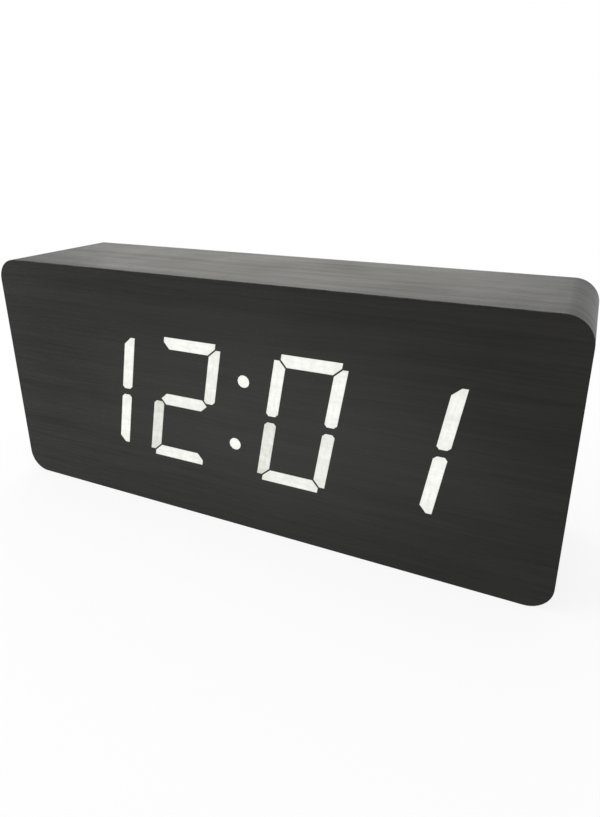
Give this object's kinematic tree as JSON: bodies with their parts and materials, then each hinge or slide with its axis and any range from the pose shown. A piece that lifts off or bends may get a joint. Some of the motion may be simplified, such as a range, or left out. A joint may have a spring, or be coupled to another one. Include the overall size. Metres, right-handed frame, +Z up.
{
  "type": "digital led desk clock",
  "caption": "Block-shaped wood-look desk clock whose slanted digits shine through its front film, with sprung buttons and a hinged battery door in its back.",
  "frame": {"origin": "middle of the case's footprint, on the surface that it stands on", "axes": "+X to the right seen from the front, +Y from the front to the back, +Z up"},
  "size_m": [0.21, 0.05, 0.09],
  "materials": {
    "wood_look_film": "matt printed film with a faint wood grain",
    "lit_film": "translucent film lit from behind",
    "fibreboard": "stained edges",
    "back_board_face": "film-faced panel",
    "tray_plastic": "fine spark texture",
    "button_plastic": "satin",
    "milky_sheet": "matt",
    "white_moulding": "matt",
    "circuit_board": "solder mask",
    "lamp_body": "satin",
    "black_component": "matt",
    "plated_metal": "nickel plating",
    "screw_metal": "dark plating",
    "cell_jacket": "shrink-wrapped jacket",
    "foam_pad": "soft foam",
    "lead_jacket": "soft"
  },
  "bodies": {
    "case": {"back_board": "back_board_face", "back_board_screws": "screw_metal", "battery_leads": "lead_jacket", "bridge_contacts": "plated_metal", "buzzer": "black_component", "capacitors": "black_component", "case_shell": "fibreboard", "cell_jackets": "cell_jacket", "cell_nubs": "plated_metal", "chip_leads": "plated_metal", "clock_chip": "black_component", "coin_cell": "plated_metal", "coin_cell_holder": "black_component", "contact_springs": "plated_metal", "control_board": "circuit_board", "control_board_screws": "screw_metal", "control_header": "white_moulding", "controller_chip": "black_component", "corner_blocks": "fibreboard", "diffuser_sheet": "milky_sheet", "display_screws": "screw_metal", "driver_chip": "black_component", "end_contacts": "plated_metal", "front_film": "wood_look_film", "light_board": "circuit_board", "light_box": "white_moulding", "light_header": "white_moulding", "lit_colon": "lit_film", "lit_hours": "lit_film", "lit_minutes": "lit_film", "microphone": "plated_metal", "power_socket_shell": "plated_metal", "power_socket_tongue": "black_component", "rear_tray": "tray_plastic", "ribbon_cable": "lead_jacket", "segment_lamps": "lamp_body", "side_film": "wood_look_film", "switch_housings": "black_component", "thermistor": "black_component", "timing_crystal": "plated_metal", "tray_screws": "screw_metal"},
    "door": {"battery_door": "tray_plastic", "door_foam": "foam_pad"},
    "down_key": {"down_button": "button_plastic", "down_plunger": "white_moulding"},
    "set_key": {"set_button": "button_plastic", "set_plunger": "white_moulding"},
    "up_key": {"up_button": "button_plastic", "up_plunger": "white_moulding"}
  },
  "joints": [
    {"name": "door_hinge", "type": "hinge", "parent": "case", "child": "door", "pos_m": [-0.02863, 0.0232, 0.0228], "axis": [-1, 0, 0], "range_deg": [0, 100]},
    {"name": "down_press", "type": "slide", "parent": "case", "child": "down_key", "axis": [0, -1, 0], "range_m": [0, 0.0005], "stiffness_N_per_m": 400},
    {"name": "set_press", "type": "slide", "parent": "case", "child": "set_key", "axis": [0, -1, 0], "range_m": [0, 0.0005], "stiffness_N_per_m": 400},
    {"name": "up_press", "type": "slide", "parent": "case", "child": "up_key", "axis": [0, -1, 0], "range_m": [0, 0.0005], "stiffness_N_per_m": 400}
  ]
}
